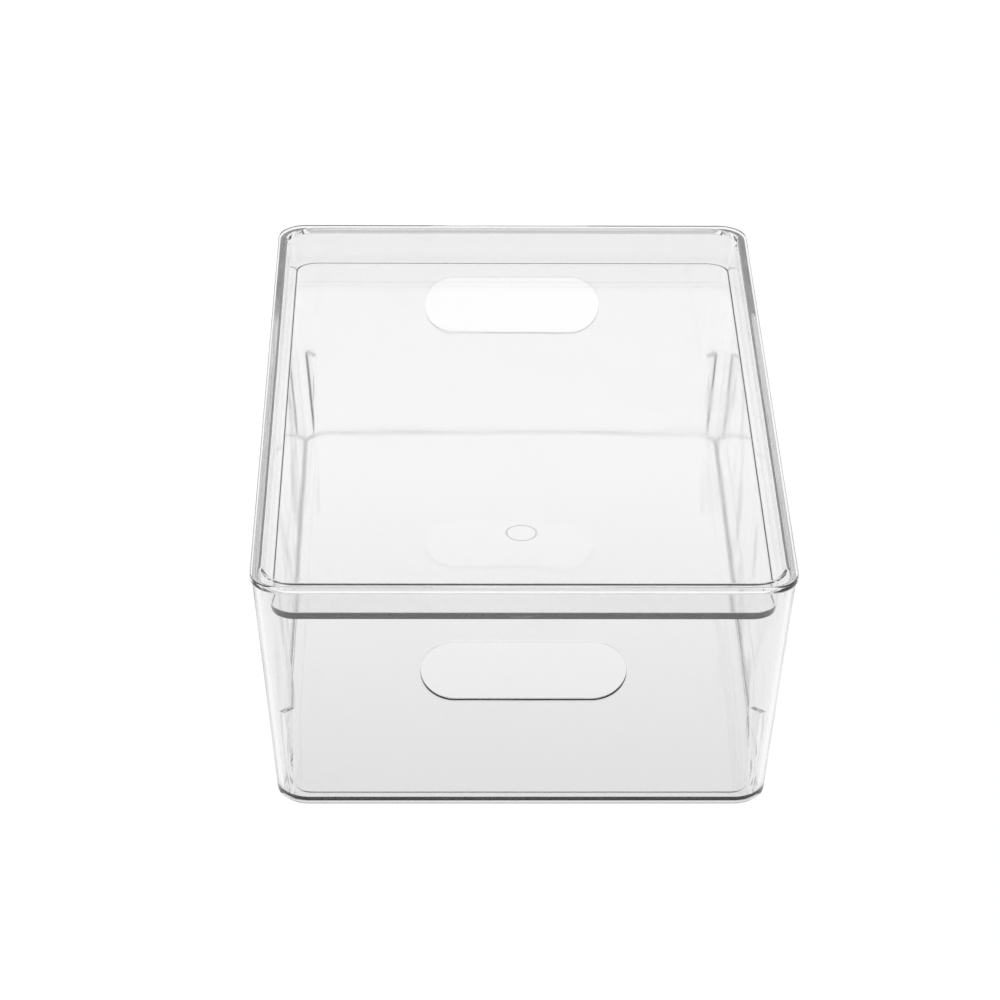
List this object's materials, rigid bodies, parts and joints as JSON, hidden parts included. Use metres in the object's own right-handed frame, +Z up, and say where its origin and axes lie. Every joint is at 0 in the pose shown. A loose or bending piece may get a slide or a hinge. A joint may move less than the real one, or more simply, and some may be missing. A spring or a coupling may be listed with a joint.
{
  "type": "fridge bin",
  "caption": "Clear stacking storage bin with drafted walls, a stadium-shaped handle slot in each end, diagonal corner ribs and a recessed lift-off lid.",
  "frame": {"origin": "middle of the underside of the bin, on the surface it stands on", "axes": "+X across the bin, towards the right side wall; +Y along the bin, from the end that faces the viewer to the far end; +Z up"},
  "size_m": [0.2, 0.3, 0.1],
  "materials": {
    "clear_plastic_bin": "clear, polished, colourless injection-moulded plastic",
    "clear_plastic_lid": "clear, polished, colourless injection-moulded plastic"
  },
  "bodies": {
    "bin": {"bin": "clear_plastic_bin"},
    "lid": {"lid": "clear_plastic_lid"}
  },
  "joints": [
    {"name": "lid_lift", "type": "slide", "parent": "bin", "child": "lid", "axis": [0, 0, 1], "range_m": [0, 0.15]}
  ]
}
